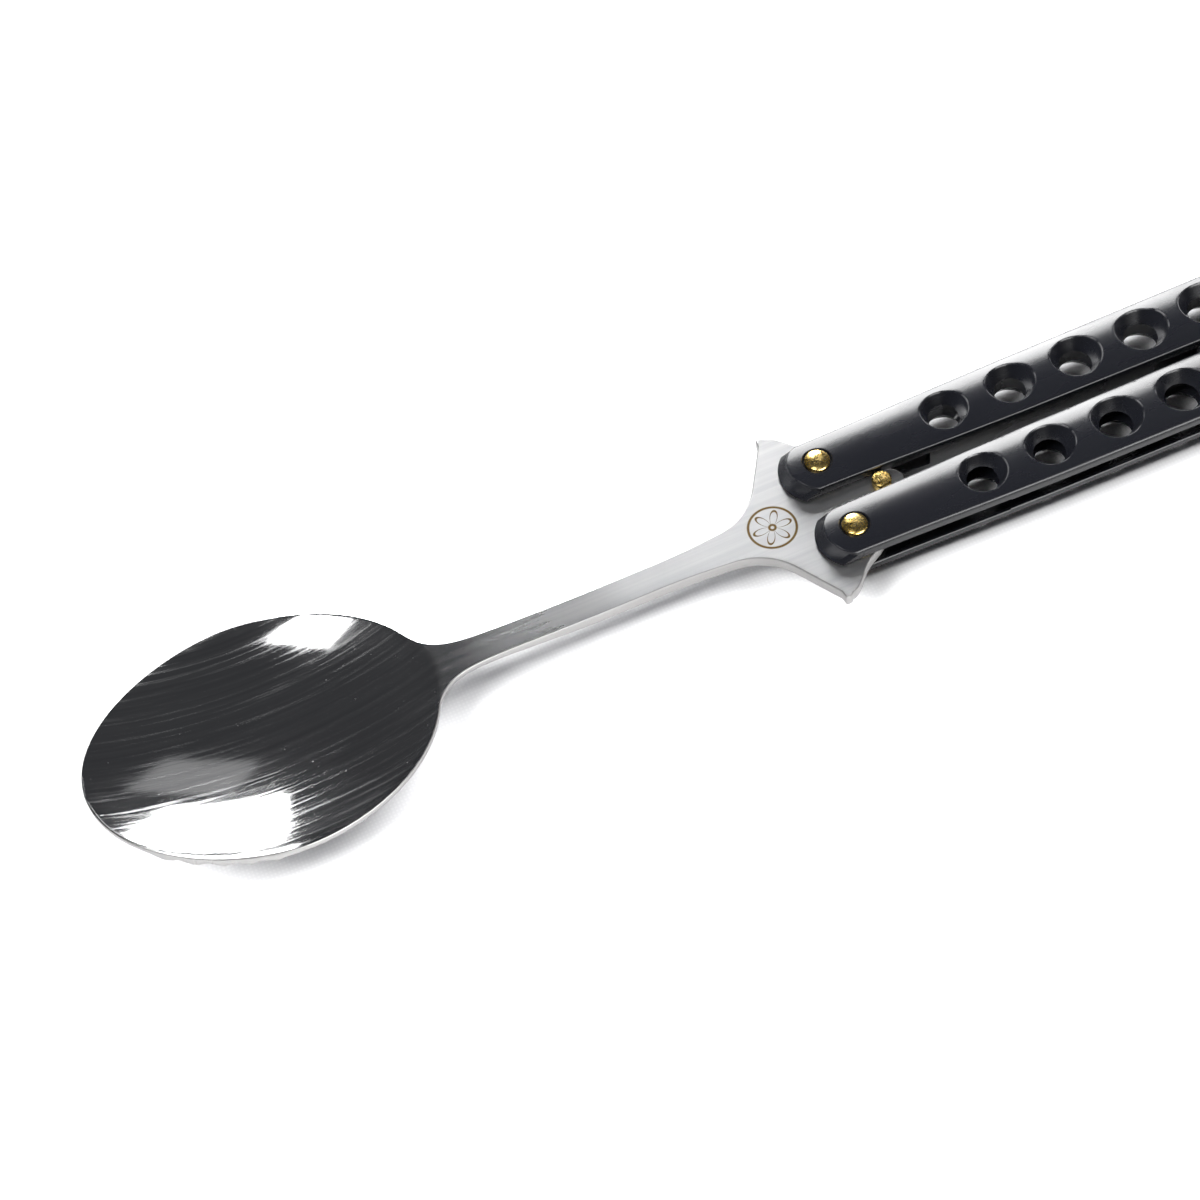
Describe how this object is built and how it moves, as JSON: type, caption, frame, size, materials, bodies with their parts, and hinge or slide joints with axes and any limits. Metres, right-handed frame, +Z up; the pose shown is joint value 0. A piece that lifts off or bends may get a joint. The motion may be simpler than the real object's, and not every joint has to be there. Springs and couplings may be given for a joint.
{
  "type": "butterfly spoon",
  "caption": "Folding table spoon: a steel bowl and tang held between two perforated channel handles that swing on brass pivot pins, with a swinging T-shaped latch.",
  "frame": {"origin": "on the table, under the middle of the object's box in its open rest pose", "axes": "+X from the bowl to the free end of the handles, +Z up out of the bowl, +Y towards the handle without the latch"},
  "size_m": [0.266, 0.0426, 0.0103],
  "materials": {
    "steel": "polished and lightly brushed along its length",
    "black_finish": "black, satin to gloss, with bare bright edges",
    "brass": "polished, slightly peened"
  },
  "bodies": {
    "spoon_body": {"spoon": "steel", "tang_pin": "brass", "far_upper_washer": "brass", "far_lower_washer": "brass", "near_upper_washer": "brass", "near_lower_washer": "brass"},
    "far_arm": {"far_handle": "black_finish", "far_pivot_pin": "brass"},
    "near_arm": {"near_handle": "black_finish", "near_pivot_pin": "brass", "latch_pin": "brass"},
    "latch_arm": {"latch": "steel"}
  },
  "joints": [
    {"name": "far_swing", "type": "hinge", "parent": "spoon_body", "child": "far_arm", "pos_m": [-0.0058, 0.0069, 0.00525], "axis": [0, 0, 1], "range_deg": [0, 167]},
    {"name": "near_swing", "type": "hinge", "parent": "spoon_body", "child": "near_arm", "pos_m": [-0.0058, -0.0069, 0.00525], "axis": [0, 0, 1], "range_deg": [-167, 0]},
    {"name": "latch_swing", "type": "hinge", "parent": "near_arm", "child": "latch_arm", "pos_m": [0.1102, -0.0069, 0.00525], "axis": [0, 0, 1], "range_deg": [-38, 90]}
  ]
}
